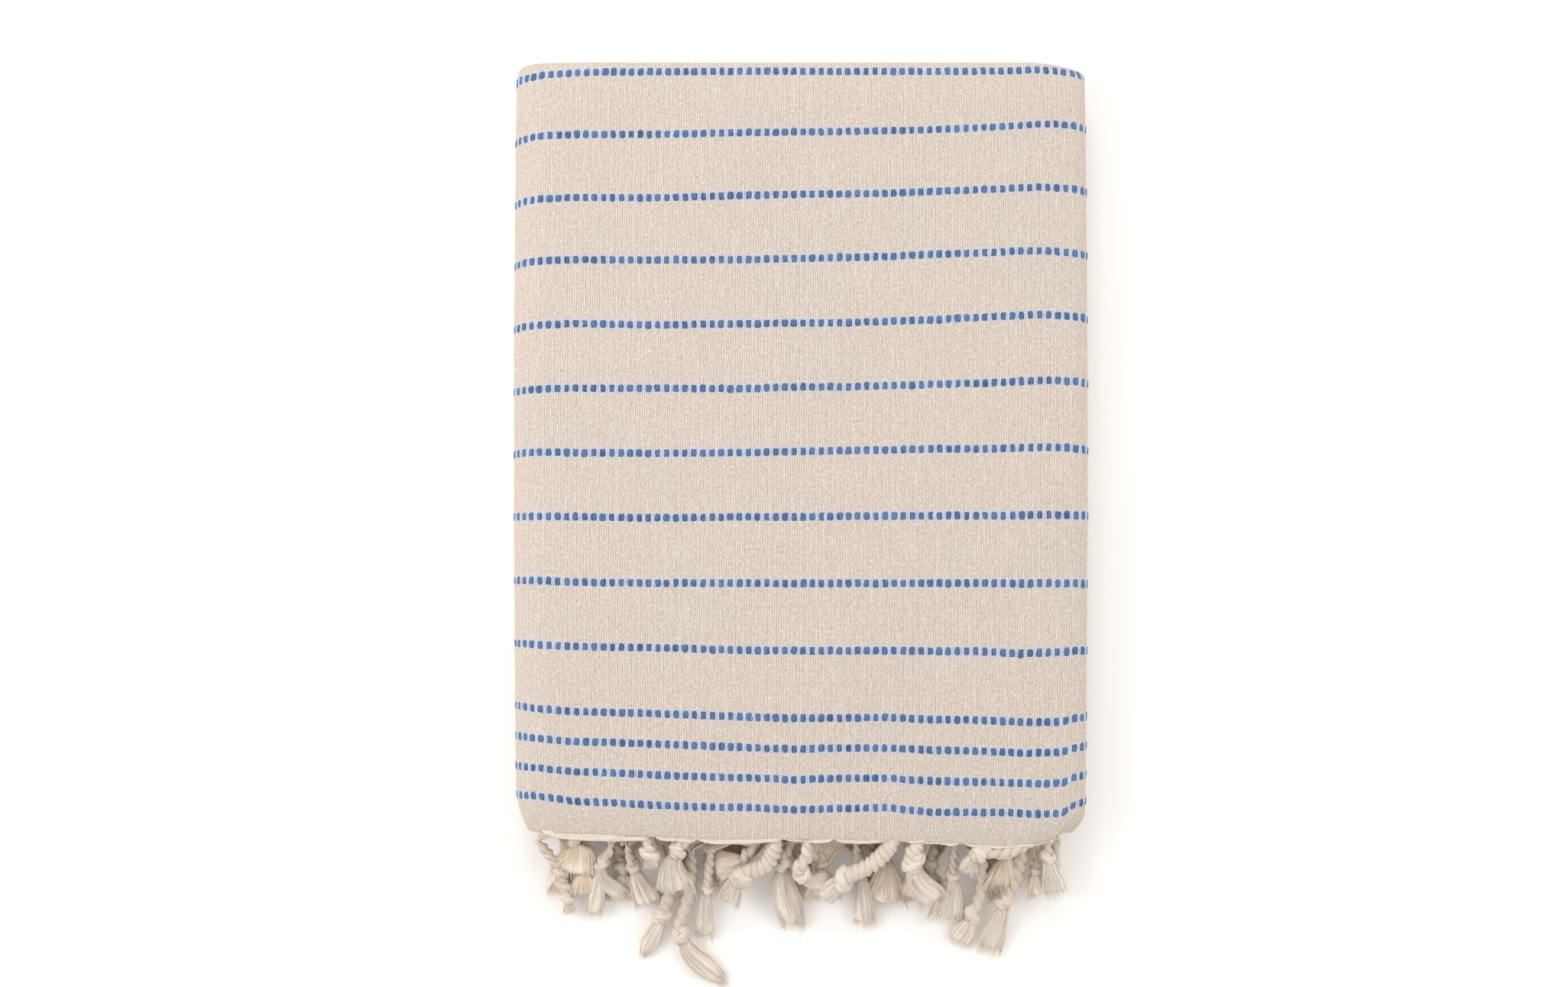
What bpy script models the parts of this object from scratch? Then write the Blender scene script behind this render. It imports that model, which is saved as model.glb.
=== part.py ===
"""A cotton hammam towel, folded flat, with its knotted fringe along the near edge.

The towel is folded over and over along its length into five plies, and that packet is then
folded in half across its width, and in half again. The origin lies on the flat underside,
in the middle of the folded cloth. +Y runs up the towel, away from the fringe.
"""
import math

import bmesh
import bpy
import numpy as np
from mathutils import Vector

MM = 0.001

# Folded size
FOLDED_WIDTH = 250.0 * MM
FOLDED_LENGTH = 340.0 * MM
SHEET = 1.1 * MM                     # thickness of the cloth
PLY_PITCH = SHEET + 0.3 * MM         # from one ply to the next in a packet
PACKET_PITCH = 4 * PLY_PITCH + SHEET + 0.5 * MM

# Folds along the length
NEAR_FOLD_LOW = 6.5 * MM             # the two near folds stay behind the hem by these
NEAR_FOLD_HIGH = 4.5 * MM
FAR_FOLD_BACK = 1.5 * MM             # the inner far fold, behind the outer one
INNER_HEM_BACK = 12.0 * MM           # the tucked hem, behind the outer far fold

# Folds across the width
BIG_FOLD_REACH = 12.5 * MM           # the fold round the whole stack is an oval
INNER_FOLD_BACK = 17.0 * MM          # middle of the fold inside it, from the left side
LOWER_SELVEDGE_BACK = 4.0 * MM       # the two free long edges, from the right side
INNER_SELVEDGE_BACK = 8.0 * MM

# How the pressed stack settles
LEFT_SLOPE, LEFT_DROP = 38.0 * MM, 0.08
RIGHT_SLOPE, RIGHT_DROP = 27.0 * MM, 0.08
FAR_SLOPE, FAR_DROP = 16.0 * MM, 0.11
NEAR_SLOPE, NEAR_DROP = 14.0 * MM, 0.06
FAR_BULGE = 2.0 * MM                 # the middle plies stand out along the far side
HEM_SKEW = 3.2 * MM                  # the hem runs down to the right by this each side
CORNER_LENGTH = 20.0 * MM            # the near corners are rounded off over this
CORNER_PULL = 5.0 * MM               # the near corners draw in by this at the hem
CORNER_FROM, CORNER_TO = 40.0 * MM, 100.0 * MM    # more and more between these places across
SIDE_BOW = 1.2 * MM                  # each side stands out halfway up
FAR_RIGHT_LENGTH, FAR_RIGHT_CUT = 26.0 * MM, 4.5 * MM    # the far corners fall back
FAR_LEFT_LENGTH, FAR_LEFT_CUT = 15.0 * MM, 2.2 * MM

# How far each layer's hem stands out towards the fringe, at these places across the width
HEM_PLACES = np.array((-87.0, -40.0, 10.0, 55.0, 98.0)) * MM
HEM_OUT = {
    "bottom": np.array((1.0, 2.0, 1.0, 0.5, 0.5)) * MM,
    "inner": np.array((1.5, 4.5, 2.0, 1.0, 1.5)) * MM,
    "upper": np.array((0.5, 3.5, 1.5, 0.0, 1.0)) * MM,
    "top": np.array((0.0, 0.8, -0.5, -0.5, 0.5)) * MM,
}
HEM_OUT_LENGTH = 45.0 * MM           # and it is level with the rest this far up

# Fringe
STRIP_GAP = 0.3 * MM
STRIP_WIDTH = 2.5 * MM
ROOT_WIDTH = 6.4 * MM
CORD_LONG, CORD_SHORT = 3.1 * MM, 2.1 * MM     # half the width of the twisted cord's section
LOBE_LENGTH = 6.6 * MM
STEPS_PER_LOBE = 3
KNOT_LENGTH = 8.5 * MM
# Along the knot, from its middle as a share of its length, and its radius there
KNOT_PROFILE = ((-0.42, 3.4 * MM), (-0.15, 4.6 * MM), (0.2, 4.4 * MM), (0.5, 2.8 * MM))
# Along the brush: the share of its length, how far the neck's section is spread across and up,
# and how much of its place each lock fills
BRUSH_PROFILE = ((0.4, 1.5, 0.95, 0.8), (1.0, 2.0, 0.8, 0.4))
SHORTER_LOCK = 0.08                  # every second lock is shorter by this share
ROOT_TAPER = 9.0 * MM                # the gathered ends swell to the cord's size along this
FLOOR_GAP = 0.1 * MM
EIGHTH_TURN = math.pi / 4
TOUCH = 0.01 * MM

# One row for each tassel: the ply layer whose hem it hangs from, its root across the width,
# the middle of its knot and the end of its brush. "out" is the distance from the middle of
# the hem line, away from the towel. All in millimetres.
TASSEL_COLUMNS = ("layer", "root_x", "knot_x", "knot_out", "knot_z", "tip_x", "tip_out", "tip_z")
TASSEL_ROWS = [
    ("top", -105, -105, 22.0, 13.0, -104, 33.0, 9.0),
    ("top", -68, -66, 14.0, 21.5, -69, 29.0, 15.0),
    ("top", -50, -55, 13.0, 24.0, -58, 27.0, 19.0),
    ("top", -13, -26, 20.0, 19.0, -29, 32.0, 14.0),
    ("top", 1, -0.5, 17.0, 20.0, 7, 28.5, 15.0),
    ("top", 42, 19, 19.5, 21.0, 11, 28.0, 16.0),
    ("top", 55, 52, 14.5, 23.0, 59, 32.0, 14.5),
    ("top", 107, 80, 12.0, 24.0, 66, 14.0, 22.0),
    ("upper", -76, -75, 13.5, 13.0, -73, 30.0, 6.0),
    ("upper", -50, -53, 45.5, 5.0, -34.5, 66.0, 1.6),
    ("upper", -12, -9, 14.0, 13.5, -2, 40.0, 3.0),
    ("upper", 22, 26, 19.0, 11.0, 29, 40.0, 2.2),
    ("upper", 65, 65, 16.0, 12.5, 61, 34.0, 5.0),
    ("upper", 98, 90.5, 29.5, 8.0, 84.5, 51.0, 1.6),
    ("inner", -104, -98, 14.0, 12.5, -96, 26.0, 9.0),
    ("inner", -91, -87, 14.0, 13.0, -89, 36.0, 4.5),
    ("inner", -66, -63, 37.5, 5.2, -71, 54.5, 1.6),
    ("inner", -38, -41, 24.5, 9.0, -42, 46.0, 2.0),
    ("inner", 9, 10, 14.0, 12.5, 10, 28.0, 7.0),
    ("inner", 36, 37, 14.0, 13.0, 41, 30.0, 7.0),
    ("inner", 51, 51, 16.0, 10.5, 50, 28.0, 6.0),
    ("inner", 80, 76, 35.0, 5.2, 67, 49.0, 1.6),
    ("inner", 109, 105, 15.0, 12.0, 111, 28.0, 8.5),
    ("bottom", -105, -104, 15.0, 4.8, -110, 28.0, 1.6),
    ("bottom", -82, -79, 16.0, 4.8, -79, 30.0, 1.6),
    ("bottom", -55, -56.5, 17.0, 4.8, -55, 29.0, 1.6),
    ("bottom", -20, -26, 15.0, 4.8, -39, 21.0, 1.6),
    ("bottom", 0, 1, 15.0, 4.8, 3, 29.0, 1.6),
    ("bottom", 30, 32, 14.5, 4.8, 35, 27.0, 1.6),
    ("bottom", 60, 58, 15.0, 4.8, 58, 29.0, 1.6),
    ("bottom", 86, 86, 15.0, 4.8, 93, 25.0, 1.6),
    ("bottom", 115, 112, 15.0, 4.8, 117, 27.0, 1.6),
]
TASSELS = [dict(zip(TASSEL_COLUMNS, row)) for row in TASSEL_ROWS]

HALF_WIDTH = FOLDED_WIDTH / 2
PACKET_HALF = 2 * PLY_PITCH + SHEET / 2
LAYER_HEIGHT = {name: PACKET_HALF + step * PACKET_PITCH for step, name in enumerate(HEM_OUT)}
STACK_HEIGHT = LAYER_HEIGHT["top"] + PACKET_HALF


def arc(across, up, radius, first, last, steps, inward=False):
    """Points of an arc, each with the angle of its left-hand normal. Angles are in degrees."""
    turn = 180.0 if inward else 0.0
    rows = []
    for angle in np.linspace(first, last, steps + 1):
        bearing = math.radians(angle)
        rows.append((across + radius * math.cos(bearing), up + radius * math.sin(bearing), angle + turn))
    return rows


def folded_length():
    """The middle line of the five plies, seen from the side: distance from the hem, height, normal."""
    far = FOLDED_LENGTH - PACKET_HALF
    stops = [CORNER_LENGTH / 3, CORNER_LENGTH, FOLDED_LENGTH / 2, FOLDED_LENGTH - FAR_SLOPE]
    forward = [(stop, 90.0) for stop in stops]
    back = [(stop, -90.0) for stop in reversed(stops)]
    rows = [(0.0, 2 * PLY_PITCH, 90.0)]
    rows += [(stop, 2 * PLY_PITCH, normal) for stop, normal in forward]
    rows += arc(far, 0.0, 2 * PLY_PITCH, 90.0, -90.0, 6)
    rows += [(stop, -2 * PLY_PITCH, normal) for stop, normal in back]
    rows += arc(NEAR_FOLD_LOW, -1.5 * PLY_PITCH, PLY_PITCH / 2, -90.0, -270.0, 3)
    rows += [(stop, -PLY_PITCH, normal) for stop, normal in forward[1:]]
    rows += arc(far - FAR_FOLD_BACK, -PLY_PITCH / 2, PLY_PITCH / 2, -90.0, 90.0, 3, inward=True)
    rows += [(stop, 0.0, normal) for stop, normal in back]
    rows += arc(NEAR_FOLD_HIGH, PLY_PITCH / 2, PLY_PITCH / 2, -90.0, -270.0, 3)
    rows += [(stop, PLY_PITCH, normal) for stop, normal in forward]
    rows[-1] = (far - INNER_HEM_BACK, PLY_PITCH, 90.0)
    return rows


def oval(centre_x, centre_z, reach, rise, steps):
    """The left-hand fold round the whole stack, from the bottom layer up to the top one."""
    rows = []
    for angle in np.linspace(-90.0, -270.0, steps + 1):
        cosine, sine = math.cos(math.radians(angle)), math.sin(math.radians(angle))
        normal = math.degrees(math.atan2(sine / rise, cosine / reach))
        rows.append((centre_x + reach * cosine, centre_z + rise * sine, normal))
    return rows


def run(layer, first_x, last_x, roots):
    """Stations along one straight layer, with a pair at each tassel's root."""
    toward_right = last_x > first_x
    normal = 90.0 if toward_right else -90.0
    here = roots.get(layer, [])
    stops = [stop for stop in HEM_PLACES if all(abs(stop - root) > ROOT_WIDTH for root in here)]
    for root in here:
        stops += [root - ROOT_WIDTH / 2, root + ROOT_WIDTH / 2]
    low, high = sorted((first_x, last_x))
    inside = sorted((stop for stop in stops if low < stop < high), reverse=not toward_right)
    return [(stop, LAYER_HEIGHT[layer], normal) for stop in inside]


def folded_width(roots):
    """The middle line of the four layers, seen from the hem: place across, height, normal."""
    big_x = -HALF_WIDTH + PACKET_HALF + BIG_FOLD_REACH
    big_z = (LAYER_HEIGHT["bottom"] + LAYER_HEIGHT["top"]) / 2
    rise = LAYER_HEIGHT["top"] - big_z
    small = PACKET_PITCH / 2
    right_x = HALF_WIDTH - PACKET_HALF - small
    inner_x = -HALF_WIDTH + INNER_FOLD_BACK
    lower_end = HALF_WIDTH - LOWER_SELVEDGE_BACK
    inner_end = HALF_WIDTH - INNER_SELVEDGE_BACK

    rows = [(lower_end, LAYER_HEIGHT["bottom"], -90.0)]
    rows += run("bottom", lower_end, big_x, roots)
    rows += oval(big_x, big_z, BIG_FOLD_REACH, rise, 10)
    rows += run("top", big_x, right_x, roots)
    rows += arc(right_x, LAYER_HEIGHT["top"] - small, small, 90.0, -90.0, 6)
    rows += run("upper", right_x, inner_x, roots)
    rows += arc(inner_x, LAYER_HEIGHT["upper"] - small, small, 90.0, 270.0, 6, inward=True)
    rows += run("inner", inner_x, inner_end, roots)
    rows += [(inner_end, LAYER_HEIGHT["inner"], 90.0)]
    return rows


def ramp(distance, length):
    """Rises from 0, where the slope starts, as the square of the way down it."""
    return max(0.0, distance / length) ** 2


def hem_out(across, height):
    """How far the hem stands out at a place across and up the stack, even round the folds."""
    by_layer = [np.interp(across, HEM_PLACES, out) for out in HEM_OUT.values()]
    return float(np.interp(height, list(LAYER_HEIGHT.values()), by_layer))


def settle(across, along, height):
    """Takes a point of the straight, level stack to its place in the settled one."""
    far = ramp(along - FOLDED_LENGTH + FAR_SLOPE, FAR_SLOPE)
    drop = (LEFT_DROP * ramp(-across - HALF_WIDTH + LEFT_SLOPE, LEFT_SLOPE)
            + RIGHT_DROP * ramp(across - HALF_WIDTH + RIGHT_SLOPE, RIGHT_SLOPE)
            + FAR_DROP * far + NEAR_DROP * ramp(NEAR_SLOPE - along, NEAR_SLOPE))
    share = along / FOLDED_LENGTH
    bulge = FAR_BULGE * math.sin(math.pi * height / STACK_HEIGHT) * far
    cut = (FAR_RIGHT_CUT * ramp(across - HALF_WIDTH + FAR_RIGHT_LENGTH, FAR_RIGHT_LENGTH)
           + FAR_LEFT_CUT * ramp(-across - HALF_WIDTH + FAR_LEFT_LENGTH, FAR_LEFT_LENGTH)) * share
    skew = HEM_SKEW * across / HALF_WIDTH * (1.0 - share)
    bow = SIDE_BOW * across / HALF_WIDTH * 4.0 * share * (1.0 - share)
    corner = min(1.0, max(0.0, (abs(across) - CORNER_FROM) / (CORNER_TO - CORNER_FROM)))
    pull = math.copysign(CORNER_PULL * corner * ramp(CORNER_LENGTH - along, CORNER_LENGTH), across)
    up_the_towel = along - FOLDED_LENGTH / 2 - skew + bulge - cut
    return Vector((across + bow - pull, up_the_towel, height * (1.0 - drop)))


def place(station, along, lift):
    """A point at a station across the width, lifted off the packet's middle along its normal."""
    across, height, normal = station
    bearing = math.radians(normal)
    spot = settle(across + lift * math.cos(bearing), along, height + lift * math.sin(bearing))
    spot.y -= hem_out(across, height) * min(1.0, max(0.0, 1.0 - along / HEM_OUT_LENGTH))
    return spot


def cloth_material():
    """Unbleached cotton, soft and dull."""
    return plain_material("cotton_cloth", (0.82, 0.73, 0.62), 0.9)


def fringe_material():
    """The same cotton, paler where it is combed out."""
    return plain_material("cotton_fringe", (0.88, 0.82, 0.73), 0.85)


def plain_material(name, color, roughness):
    material = bpy.data.materials.new(name)
    material.use_nodes = True
    shader = material.node_tree.nodes["Principled BSDF"]
    shader.inputs["Base Color"].default_value = (*color, 1.0)
    shader.inputs["Roughness"].default_value = roughness
    shader.inputs["Metallic"].default_value = 0.0
    return material


def add_object(name, mesh_builder, material):
    """Turns a finished bmesh into a named object with its faces pointing out."""
    bmesh.ops.triangulate(mesh_builder, faces=mesh_builder.faces, quad_method="FIXED")
    bmesh.ops.recalc_face_normals(mesh_builder, faces=mesh_builder.faces)
    mesh = bpy.data.meshes.new(name)
    mesh_builder.to_mesh(mesh)
    mesh_builder.free()
    mesh.materials.append(material)
    piece = bpy.data.objects.new(name, mesh)
    bpy.context.scene.collection.objects.link(piece)
    return piece


def sweep(builder, stations, outline):
    """Carries a closed outline along the stations. Returns the rings of vertices."""
    rings = [[builder.verts.new(place(station, along, lift)) for along, lift in outline]
             for station in stations]
    count = len(outline)
    for ring, following in zip(rings, rings[1:]):
        for here in range(count):
            there = (here + 1) % count
            builder.faces.new((ring[here], ring[there], following[there], following[here]))
    return rings


def close_end(builder, ring):
    """Closes a folded outline's end, rung by rung, because its two long sides face each other."""
    last = len(ring) - 1
    for here in range(len(ring) // 2 - 1):
        builder.faces.new((ring[here], ring[here + 1], ring[last - here - 1], ring[last - here]))


def build_cloth():
    """The whole sheet: its lengthwise folds are the outline, its widthwise folds are the way."""
    left, right = [], []
    for along, lift, normal in folded_length():
        bearing = math.radians(normal)
        side = (math.cos(bearing) * SHEET / 2, math.sin(bearing) * SHEET / 2)
        left.append((along + side[0], lift + side[1]))
        right.append((along - side[0], lift - side[1]))
    builder = bmesh.new()
    rings = sweep(builder, folded_width({}), left + right[::-1])
    close_end(builder, rings[0])
    close_end(builder, rings[-1])
    return add_object("cloth", builder, cloth_material())


def curve_point(controls, share):
    """A point of the curve that sets off from the first of four points and arrives at the last."""
    rest = 1.0 - share
    weights = (rest ** 3, 3 * rest * rest * share, 3 * rest * share * share, share ** 3)
    return sum((weight * control for weight, control in zip(weights, controls)), Vector())


def extend(builder, ring, corners):
    """Carries a ring of vertices on to new corners, with a wall between. Returns the new ring."""
    grown = [builder.verts.new(corner) for corner in corners]
    for here in range(len(ring)):
        there = (here + 1) % len(ring)
        builder.faces.new((ring[here], ring[there], grown[there], grown[here]))
    return grown


def across_and_up(heading):
    """The two directions square to a heading: level across it, and up from it."""
    side = heading.cross(Vector((0.0, 0.0, 1.0))).normalized()
    return side, side.cross(heading).normalized()


def square_round(centre, heading, turn, radii):
    """Four corners round a centre, in a plane square to the heading, turned by an angle."""
    side, rise = across_and_up(heading)
    corners = []
    for number in range(4):
        angle = math.radians(45.0 - 90.0 * number) + turn
        corners.append(centre + radii[number % 2] * (math.cos(angle) * side + math.sin(angle) * rise))
    return corners


def grow_tassel(builder, ring, tassel):
    """One tassel, drawn out of its root in the strip: gathered ends, twisted cord, knot, brush."""
    hem_y = -FOLDED_LENGTH / 2
    knot = Vector((tassel["knot_x"] * MM, hem_y - tassel["knot_out"] * MM, tassel["knot_z"] * MM))
    tip = Vector((tassel["tip_x"] * MM, hem_y - tassel["tip_out"] * MM, tassel["tip_z"] * MM))
    start = sum((vertex.co for vertex in ring), Vector()) / len(ring)
    fall = ((tip - knot).normalized() + (knot - start).normalized()).normalized()
    end = knot - fall * KNOT_LENGTH / 2
    straight = (end - start).length
    lift = max(0.0, CORD_LONG - start.z)
    controls = (start, start + Vector((0.0, -straight / 3, lift)), end - fall * straight / 3, end)
    steps = max(2, round(straight / LOBE_LENGTH * STEPS_PER_LOBE))
    turn = 0.0
    previous = start
    for step in range(1, steps + 1):
        centre = curve_point(controls, step / (steps + 0.5))
        swell = min(1.0, 0.5 + (centre - start).length / ROOT_TAPER)
        centre.z = max(centre.z, CORD_LONG * swell + FLOOR_GAP)
        heading = (centre - previous).normalized()
        radii = (CORD_LONG * swell, CORD_SHORT * swell)
        ring = extend(builder, ring, square_round(centre, heading, turn, radii))
        turn += math.pi / STEPS_PER_LOBE
        previous = centre
    level = EIGHTH_TURN * (2 * round(turn / EIGHTH_TURN / 2 - 0.5) + 1)
    for number, (share, radius) in enumerate(KNOT_PROFILE):
        centre = knot + fall * KNOT_LENGTH * share
        twist = turn + (level - turn) * number / (len(KNOT_PROFILE) - 1)
        ring = extend(builder, ring, square_round(centre, fall, twist, (radius, radius)))
    comb_brush(builder, ring, knot + fall * KNOT_LENGTH * KNOT_PROFILE[-1][0], tip)


def comb_brush(builder, ring, neck, tip):
    """Parts the knot's lower end into four three-sided locks that fan out and taper."""
    fall = tip - neck
    side, rise = across_and_up(fall.normalized())
    core = builder.verts.new(neck)
    for number in range(4):
        lock = [ring[number], ring[(number + 1) % 4], core]
        offsets = [vertex.co - neck for vertex in lock]
        middle = sum(offsets, Vector()) / 3
        for share, wide, high, full in BRUSH_PROFILE:
            reach = share * (1.0 - SHORTER_LOCK * (number % 2) * share)
            spots = []
            for offset in offsets:
                spot = middle + full * (offset - middle)
                spots.append(neck + fall * reach + side * (wide * spot.dot(side))
                             + rise * (high * spot.dot(rise)))
            lock = extend(builder, lock, spots)
        builder.faces.new(lock)


def root_ring(stations, rings, tassel):
    """The four strip corners that a tassel grows from, going round as its own corners do."""
    pair = [ring for station, ring in zip(stations, rings)
            if abs(station[1] - LAYER_HEIGHT[tassel["layer"]]) < TOUCH
            and abs(abs(station[0] - tassel["root_x"] * MM) - ROOT_WIDTH / 2) < TOUCH]
    left, right = sorted(pair, key=lambda ring: ring[0].co.x)
    low, high = sorted((0, 3), key=lambda corner: left[corner].co.z)
    return [left[high], left[low], right[low], right[high]]


def build_fringe():
    """A narrow strip beside the hem, all round the folds, and the tassels that it holds."""
    roots = {}
    for tassel in TASSELS:
        roots.setdefault(tassel["layer"], []).append(tassel["root_x"] * MM)
    stations = folded_width(roots)
    near, far = -STRIP_GAP - STRIP_WIDTH, -STRIP_GAP
    low, high = 2 * PLY_PITCH - SHEET / 2, 2 * PLY_PITCH + SHEET / 2
    builder = bmesh.new()
    rings = sweep(builder, stations, [(near, low), (far, low), (far, high), (near, high)])
    close_end(builder, rings[0])
    close_end(builder, rings[-1])
    for tassel in TASSELS:
        root = root_ring(stations, rings, tassel)
        covered = next(face for face in root[0].link_faces if set(face.verts) == set(root))
        builder.faces.remove(covered)
        grow_tassel(builder, root, tassel)
    return add_object("fringe", builder, fringe_material())


def main():
    for leftover in list(bpy.data.objects):
        bpy.data.objects.remove(leftover, do_unlink=True)
    build_cloth()
    build_fringe()


main()
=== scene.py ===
import math

import bpy
import numpy as np
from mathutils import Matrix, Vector


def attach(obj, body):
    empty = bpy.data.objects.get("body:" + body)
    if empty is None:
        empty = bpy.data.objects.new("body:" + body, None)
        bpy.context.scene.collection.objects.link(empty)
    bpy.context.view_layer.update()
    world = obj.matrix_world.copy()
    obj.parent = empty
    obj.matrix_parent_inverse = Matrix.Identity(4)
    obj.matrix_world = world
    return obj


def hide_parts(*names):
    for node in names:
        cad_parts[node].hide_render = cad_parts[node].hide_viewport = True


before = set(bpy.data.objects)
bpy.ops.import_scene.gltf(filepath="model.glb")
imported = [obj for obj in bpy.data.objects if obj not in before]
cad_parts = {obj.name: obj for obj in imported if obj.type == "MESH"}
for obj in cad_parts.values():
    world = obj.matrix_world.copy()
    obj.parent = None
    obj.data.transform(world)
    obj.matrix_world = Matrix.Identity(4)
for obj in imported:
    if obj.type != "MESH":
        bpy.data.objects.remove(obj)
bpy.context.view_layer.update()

mm = 0.001
chance = np.random.default_rng(11)       # every uneven dash and loose thread is drawn from this

# The folded stack: the same measures as its solid
fold = {
    "width": 250 * mm,
    "length": 340 * mm,
    "sheet": 1.1 * mm,
    "ply": 1.4 * mm,             # from one ply to the next
    "packet": 7.2 * mm,          # from one folded packet to the next
    "nearLow": 6.5 * mm,         # the near folds stay behind the hem
    "nearHigh": 4.5 * mm,
    "farBack": 1.5 * mm,
    "hemBack": 12.0 * mm,
    "bigReach": 12.5 * mm,
    "innerBack": 17.0 * mm,
    "lowerBack": 4.0 * mm,
    "innerEdgeBack": 8.0 * mm,
}
fold["half"] = 2 * fold["ply"] + fold["sheet"] / 2
layerHeights = fold["half"] + fold["packet"] * np.arange(4)      # bottom, inner, upper, top
stackHeight = layerHeights[3] + fold["half"]
halfWidth = fold["width"] / 2

# How the stack lies: slopes at its edges, and what the hem and the corners do
lie = {
    "leftSlope": 38 * mm, "leftDrop": 0.08,
    "rightSlope": 27 * mm, "rightDrop": 0.08,
    "farSlope": 16 * mm, "farDrop": 0.11,
    "nearSlope": 14 * mm, "nearDrop": 0.06,
    "farBulge": 2.0 * mm,
    "hemSkew": 3.2 * mm,
    "leftCorner": 20 * mm, "rightCorner": 11 * mm, "cornerPull": 5.0 * mm,
    "cornerFrom": 40 * mm, "cornerTo": 100 * mm,
    "sideBow": 1.2 * mm,
    "farRightLength": 26 * mm, "farRightCut": 4.5 * mm,
    "farLeftLength": 15 * mm, "farLeftCut": 2.2 * mm,
    "hemLength": 45 * mm,
    "farTrim": 1.3 * mm,
    # long soft waves in the pressed cloth: across and along in mm, angle, share of the height
    "waves": ((140, 420, 0.4, 0.007), (62, -190, 2.0, 0.005), (38, 120, 4.1, 0.003), (-95, 64, 1.1, 0.004)),
    "cornerRise": 6.0 * mm,      # the near right corner is dragged up by this, in two steps:
    "riseSteps": ((0.6, 96 * mm, 26 * mm), (0.4, 114 * mm, 6 * mm)),     # share, where it starts, length
    "riseFades": 42 * mm,
    "creaseAt": 117.0 * mm,      # and a small crease runs beside it
    "creaseFrom": 30 * mm, "creaseLean": 0.16,
    "creaseWide": 2.2 * mm, "creaseDepth": 0.05,
}
hemPlaces = np.array((-125, -87, -40, 10, 55, 98, 125)) * mm
hemOut = np.array((
    (0.8, 1.0, 2.0, 1.0, 0.5, 0.5, 0.3),
    (1.2, 1.5, 4.5, 2.0, 1.0, 1.5, 0.8),
    (0.5, 0.5, 3.5, 1.5, 0.0, 1.0, 0.5),
    (0.0, 0.0, 0.8, -0.5, -0.5, 0.5, 0.0),
)) * mm


def straight(start, end, normal, stops):
    # from one place to another through the stops between them, all with one normal
    start, end = np.array(start, float), np.array(end, float)
    low, high = sorted((start[0], end[0]))
    inside = np.sort(stops[(stops > low + 0.4 * mm) & (stops < high - 0.4 * mm)])
    places = np.concatenate([[start[0]], inside if end[0] > start[0] else inside[::-1], [end[0]]])
    return np.stack([places, np.full(len(places), start[1]), np.full(len(places), math.radians(normal))], 1)


def bend(centre, reach, rise, first, last, count, flip=0.0):
    # an oval: centre + (reach cos a, rise sin a), with its normal along (cos a / reach, sin a / rise)
    a = np.radians(np.linspace(first, last, count + 1))
    normal = np.arctan2(np.sin(a) / rise, np.cos(a) / reach) + math.radians(flip)
    return np.stack([centre[0] + reach * np.cos(a), centre[1] + rise * np.sin(a), normal], 1)


def chain(parts):
    # the parts' points as one line: two places, the normal's two shares, and the way along it
    line = np.vstack([parts[0]] + [part[1:] for part in parts[1:]])
    way = np.concatenate([[0.0], np.cumsum(np.hypot(*np.diff(line[:, :2], axis=0).T))])
    return np.stack([line[:, 0], line[:, 1], np.cos(line[:, 2]), np.sin(line[:, 2]), way], 1)


def lengthLine():
    # the five plies seen from the side, from the outer hem to the tucked one
    ply, low, high = fold["ply"], fold["nearLow"], fold["nearHigh"]
    far = fold["length"] - fold["half"]
    back = far - fold["farBack"]
    fine = np.concatenate([np.array([1.0, 2.2]) * mm, np.arange(3.5 * mm, 0.4, 3.5 * mm)])
    sparse = np.array([3, 8, 13, 20, 32, 46, *range(66, 300, 21), 306, 318, 326, 331]) * mm
    return chain([
        straight((0, 2 * ply), (far, 2 * ply), 90, fine),
        bend((far, 0), 2 * ply, 2 * ply, 90, -90, 8),
        straight((far, -2 * ply), (low, -2 * ply), -90, sparse),
        bend((low, -1.5 * ply), ply / 2, ply / 2, -90, -270, 5),
        straight((low, -ply), (back, -ply), 90, sparse),
        bend((back, -ply / 2), ply / 2, ply / 2, -90, 90, 5, flip=180),
        straight((back, 0), (high, 0), -90, sparse),
        bend((high, ply / 2), ply / 2, ply / 2, -90, -270, 5),
        straight((high, ply), (far - fold["hemBack"], ply), 90, sparse),
    ])


def widthLine():
    # the four layers seen from the hem, from the selvedge under the stack to the one inside it
    bottom, inner, upper, top = layerHeights
    bigX = -halfWidth + fold["half"] + fold["bigReach"]
    small = fold["packet"] / 2
    rightX = halfWidth - fold["half"] - small
    innerX = -halfWidth + fold["innerBack"]
    fine, sparse = np.arange(-0.2, 0.2, 3.0 * mm), np.arange(-0.2, 0.2, 9.0 * mm)
    return chain([
        straight((halfWidth - fold["lowerBack"], bottom), (bigX, bottom), -90, sparse),
        bend((bigX, (bottom + top) / 2), fold["bigReach"], (top - bottom) / 2, -90, -270, 18),
        straight((bigX, top), (rightX, top), 90, fine),
        bend((rightX, top - small), small, small, 90, -90, 10),
        straight((rightX, upper), (innerX, upper), -90, sparse),
        bend((innerX, upper - small), small, small, 90, 270, 8, flip=180),
        straight((innerX, inner), (halfWidth - fold["innerEdgeBack"], inner), 90, sparse),
    ])


def ramp(distance, length):
    # nothing until the slope starts, then the square of the share of the way down it
    return np.clip(distance / length, 0, None) ** 2


def ease(share):
    # from 0 to 1 with level ends: t t (3 - 2 t)
    share = np.clip(share, 0, 1)
    return share * share * (3 - 2 * share)


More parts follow.
